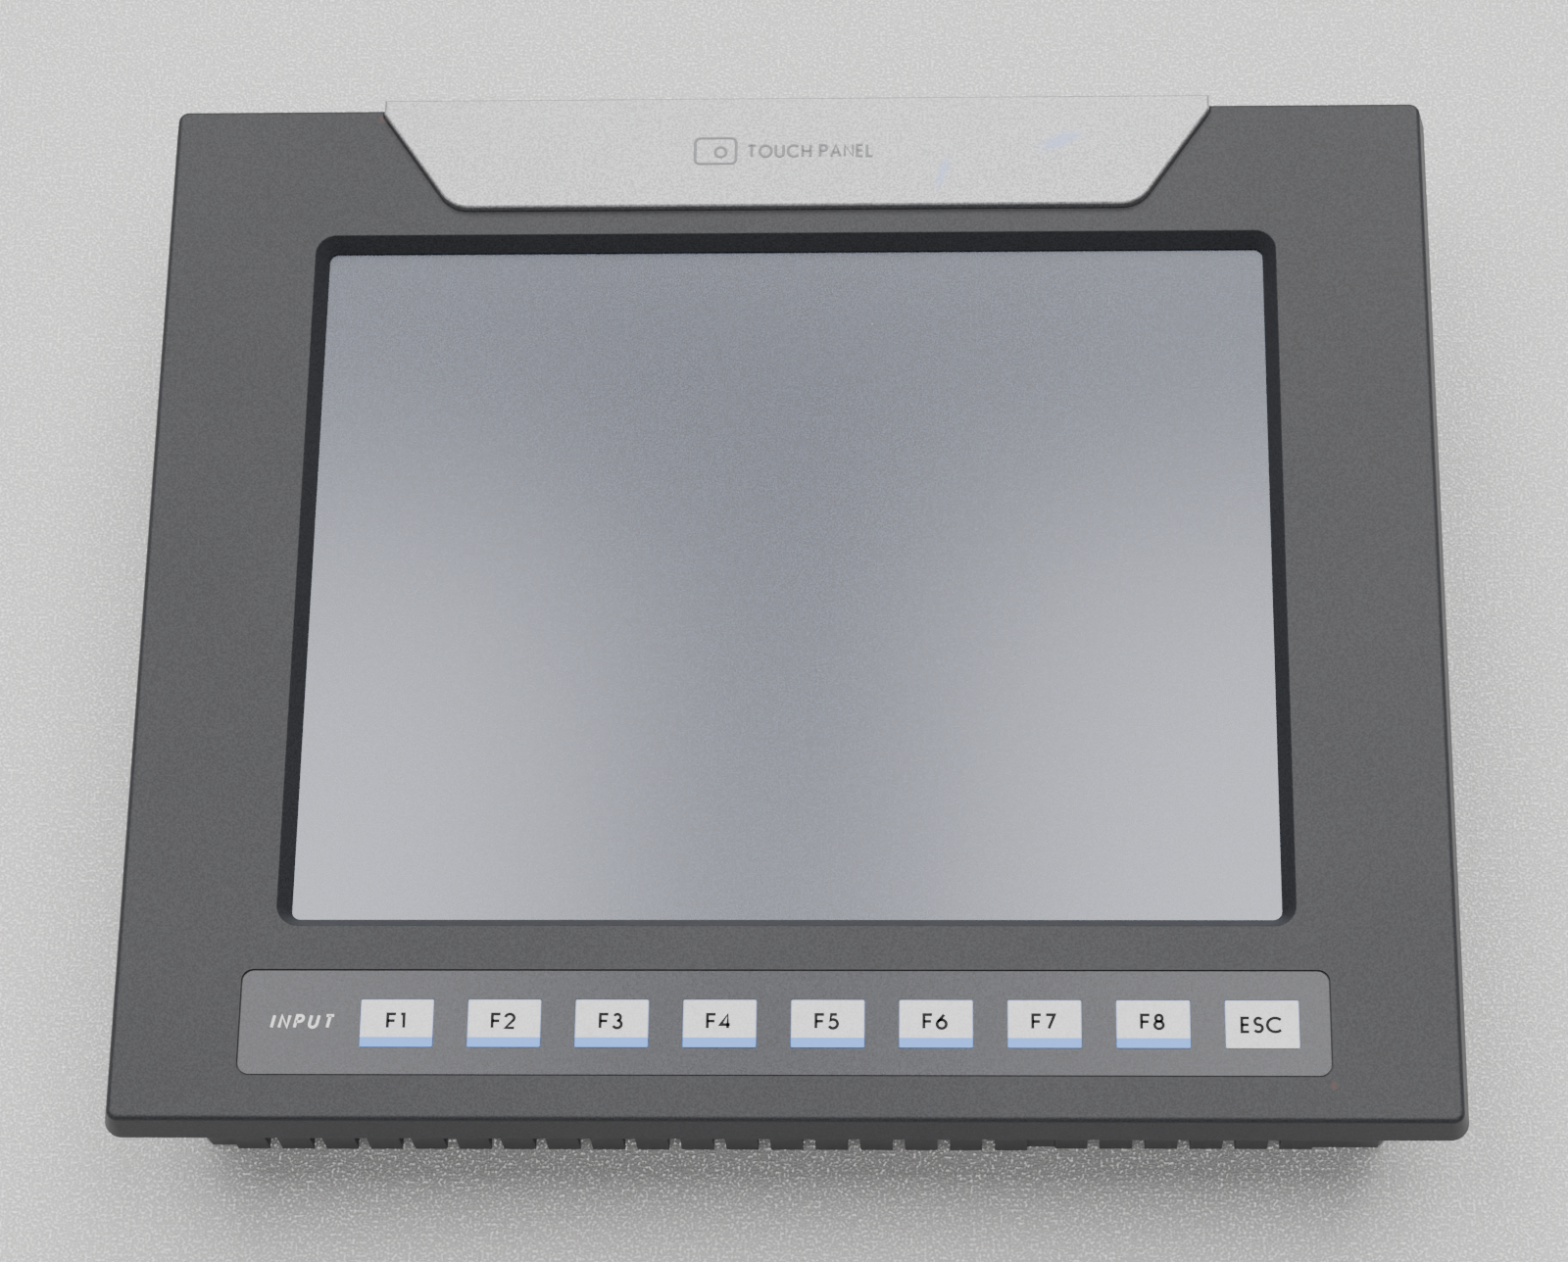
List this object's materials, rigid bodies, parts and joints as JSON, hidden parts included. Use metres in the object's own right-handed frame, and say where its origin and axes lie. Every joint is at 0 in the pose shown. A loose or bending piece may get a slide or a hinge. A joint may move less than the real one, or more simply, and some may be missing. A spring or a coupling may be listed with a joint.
{
  "type": "hmi touch panel",
  "caption": "Operator touch panel: framed touch display over a row of function keys, trim plate, and a vented rear housing with a connector bay.",
  "frame": {"origin": "centre of the flat rear face that the panel lies on", "axes": "+X across the display to the right, +Y up the panel towards the trim plate, +Z out of the display"},
  "size_m": [0.289, 0.2446, 0.0591],
  "materials": {
    "bezel_plastic": "fine moulded grain, satin",
    "housing_plastic": "moulded grain, matt",
    "trim_silver": "metallic paint, satin",
    "overlay_film": "printed film, satin",
    "key_white": "printed film, satin",
    "touch_glass": "anti-glare",
    "display_cell": "dark, unlit",
    "light_guide": "white moulding",
    "sheet_steel": "galvanised sheet",
    "screw_steel": "zinc plated",
    "dome_steel": "polished",
    "connector_steel": "tin plated",
    "brass": "turned",
    "board_green": "solder mask",
    "terminal_green": "moulded",
    "connector_black": "moulded",
    "gasket_rubber": "smooth",
    "foam": "closed-cell foam",
    "cable_film": "flat cable",
    "heat_sink_metal": "anodised",
    "capacitor_can": "sleeved can",
    "battery_steel": "plated",
    "label_film": "blank foil"
  },
  "bodies": {
    "panel": {"front_bezel": "bezel_plastic", "trim_plate": "trim_silver", "keypad_overlay": "overlay_film", "keypad_board": "board_green", "snap_domes": "dome_steel", "keypad_screws": "screw_steel", "keypad_ribbon": "cable_film", "touch_gasket": "foam", "touch_glass": "touch_glass", "display_foam": "foam", "lcd_frame": "sheet_steel", "lcd_glass": "display_cell", "backlight_unit": "light_guide", "backlight_driver": "board_green", "display_cable": "cable_film", "display_chassis": "sheet_steel", "chassis_screws": "screw_steel", "panel_gasket": "gasket_rubber", "rear_housing": "housing_plastic", "housing_screws": "screw_steel", "main_board": "board_green", "board_standoffs": "brass", "board_screws": "screw_steel", "processor_chip": "connector_black", "heat_sink": "heat_sink_metal", "capacitors": "capacitor_can", "power_header": "terminal_green", "fieldbus_header": "terminal_green", "serial_port": "connector_steel", "serial_jack_nuts": "screw_steel", "ethernet_jack": "connector_black", "usb_port": "connector_steel", "card_socket": "connector_steel", "earth_insert": "brass", "battery_holder": "connector_black", "battery_cell": "battery_steel", "module_header": "connector_black", "rating_label": "label_film"},
    "power_plug": {"power_plug": "terminal_green", "power_plug_screws": "screw_steel"},
    "fieldbus_plug": {"fieldbus_plug": "terminal_green", "fieldbus_plug_screws": "screw_steel"},
    "battery_door": {"battery_door": "housing_plastic"},
    "module_cover": {"module_cover": "housing_plastic"},
    "key_f1": {"key_f1": "key_white"},
    "key_f2": {"key_f2": "key_white"},
    "key_f3": {"key_f3": "key_white"},
    "key_f4": {"key_f4": "key_white"},
    "key_f5": {"key_f5": "key_white"},
    "key_f6": {"key_f6": "key_white"},
    "key_f7": {"key_f7": "key_white"},
    "key_f8": {"key_f8": "key_white"},
    "key_esc": {"key_esc": "key_white"}
  },
  "joints": [
    {"name": "key_f1_press", "type": "slide", "parent": "panel", "child": "key_f1", "axis": [0, 0, -1], "range_m": [0, 0.0004], "stiffness_N_per_m": 2500, "springref_m": -0.00002, "deforming": ["snap_domes"]},
    {"name": "key_f2_press", "type": "slide", "parent": "panel", "child": "key_f2", "axis": [0, 0, -1], "range_m": [0, 0.0004], "stiffness_N_per_m": 2500, "springref_m": -0.00002, "deforming": ["snap_domes"]},
    {"name": "key_f3_press", "type": "slide", "parent": "panel", "child": "key_f3", "axis": [0, 0, -1], "range_m": [0, 0.0004], "stiffness_N_per_m": 2500, "springref_m": -0.00002, "deforming": ["snap_domes"]},
    {"name": "key_f4_press", "type": "slide", "parent": "panel", "child": "key_f4", "axis": [0, 0, -1], "range_m": [0, 0.0004], "stiffness_N_per_m": 2500, "springref_m": -0.00002, "deforming": ["snap_domes"]},
    {"name": "key_f5_press", "type": "slide", "parent": "panel", "child": "key_f5", "axis": [0, 0, -1], "range_m": [0, 0.0004], "stiffness_N_per_m": 2500, "springref_m": -0.00002, "deforming": ["snap_domes"]},
    {"name": "key_f6_press", "type": "slide", "parent": "panel", "child": "key_f6", "axis": [0, 0, -1], "range_m": [0, 0.0004], "stiffness_N_per_m": 2500, "springref_m": -0.00002, "deforming": ["snap_domes"]},
    {"name": "key_f7_press", "type": "slide", "parent": "panel", "child": "key_f7", "axis": [0, 0, -1], "range_m": [0, 0.0004], "stiffness_N_per_m": 2500, "springref_m": -0.00002, "deforming": ["snap_domes"]},
    {"name": "key_f8_press", "type": "slide", "parent": "panel", "child": "key_f8", "axis": [0, 0, -1], "range_m": [0, 0.0004], "stiffness_N_per_m": 2500, "springref_m": -0.00002, "deforming": ["snap_domes"]},
    {"name": "key_esc_press", "type": "slide", "parent": "panel", "child": "key_esc", "axis": [0, 0, -1], "range_m": [0, 0.0004], "stiffness_N_per_m": 2500, "springref_m": -0.00002, "deforming": ["snap_domes"]},
    {"name": "battery_door_hinge", "type": "hinge", "parent": "panel", "child": "battery_door", "pos_m": [-0.076, 0.04655, 0.0013], "axis": [1, 0, 0], "range_deg": [0, 95]},
    {"name": "module_cover_slide", "type": "slide", "parent": "panel", "child": "module_cover", "axis": [1, 0, 0], "range_m": [0, 0.04]},
    {"name": "power_plug_slide", "type": "slide", "parent": "panel", "child": "power_plug", "axis": [0, -1, 0], "range_m": [0, 0.01]},
    {"name": "fieldbus_plug_slide", "type": "slide", "parent": "panel", "child": "fieldbus_plug", "axis": [0, -1, 0], "range_m": [0, 0.01]}
  ]
}
